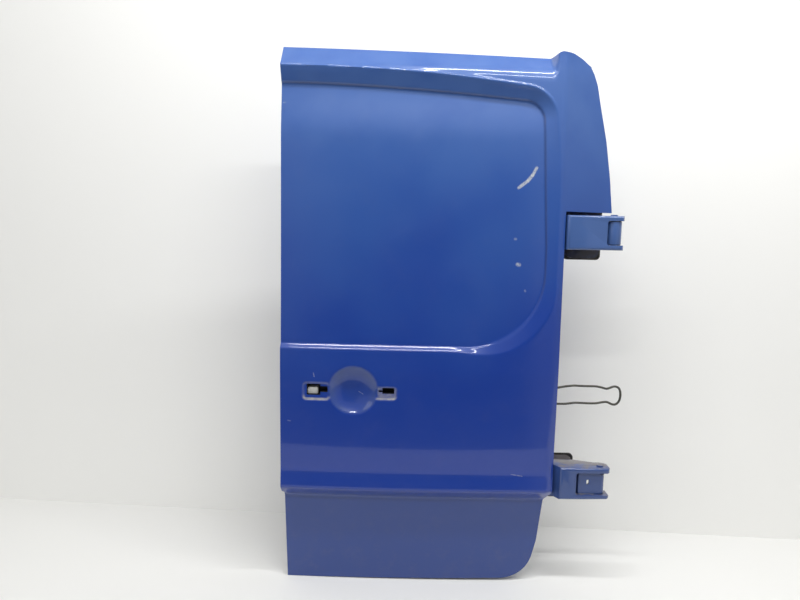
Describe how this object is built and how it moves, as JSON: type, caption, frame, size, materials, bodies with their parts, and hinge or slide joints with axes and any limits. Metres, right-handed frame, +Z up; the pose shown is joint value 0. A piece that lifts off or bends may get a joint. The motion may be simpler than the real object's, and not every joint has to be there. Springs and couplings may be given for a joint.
{
  "type": "van rear barn door",
  "caption": "Right-hand rear barn door of a panel van with blanked window, side wing, two exposed hinges with body leaves and a sliding wire check loop.",
  "frame": {"origin": "centre of the lower hinge leaf's flat mounting face, where it bolts to the van's pillar", "axes": "+Z up, +X from the closing edge out to the hinges, +Y from the outside face towards the van's inside"},
  "size_m": [0.9117, 0.1229, 1.4238],
  "materials": {
    "paint_blue": "glossy royal blue enamel, scuffed and dusty",
    "hinge_blue": "glossy royal blue enamel over castings",
    "pin_steel": "plated, dull",
    "latch_steel": "zinc plated",
    "wire_steel": "drawn wire, dull",
    "black_steel": "satin black",
    "black_plastic": "moulded, matt",
    "grey_plastic": "moulded, light grey",
    "rubber": "matt"
  },
  "bodies": {
    "pillar_leaves": {"hinge_leaf_upper": "hinge_blue", "hinge_leaf_lower": "hinge_blue", "leaf_rubber_upper": "rubber", "leaf_rubber_lower": "rubber"},
    "door": {"outer_skin": "paint_blue", "inner_side_latch": "paint_blue", "inner_side_hinge": "paint_blue", "inner_header": "paint_blue", "inner_waist": "paint_blue", "inner_belly": "paint_blue", "inner_sill": "paint_blue", "inner_posts": "paint_blue", "wing_inner": "paint_blue", "waist_rail": "paint_blue", "window_bars": "paint_blue", "handle_carrier": "black_plastic", "handle_lever": "grey_plastic", "latch_case": "latch_steel", "latch_claw": "latch_steel", "inner_release": "black_plastic", "hinge_plate_upper": "paint_blue", "hinge_plate_lower": "paint_blue", "hinge_arm_upper": "hinge_blue", "hinge_arm_lower": "hinge_blue", "hinge_bolts_upper": "hinge_blue", "hinge_bolts_lower": "hinge_blue", "hinge_pin_upper": "hinge_blue", "hinge_pin_lower": "hinge_blue", "check_case": "black_steel", "check_rollers": "pin_steel", "bump_stops": "rubber"},
    "check_loop": {"check_loop": "wire_steel"}
  },
  "joints": [
    {"name": "door_swing", "type": "hinge", "parent": "pillar_leaves", "child": "door", "pos_m": [0.1, -0.09, 0.017], "axis": [0, 0, 1], "range_deg": [0, 180]},
    {"name": "check_slide", "type": "slide", "parent": "door", "child": "check_loop", "axis": [1, 0, 0], "range_m": [-0.11, 0]}
  ]
}
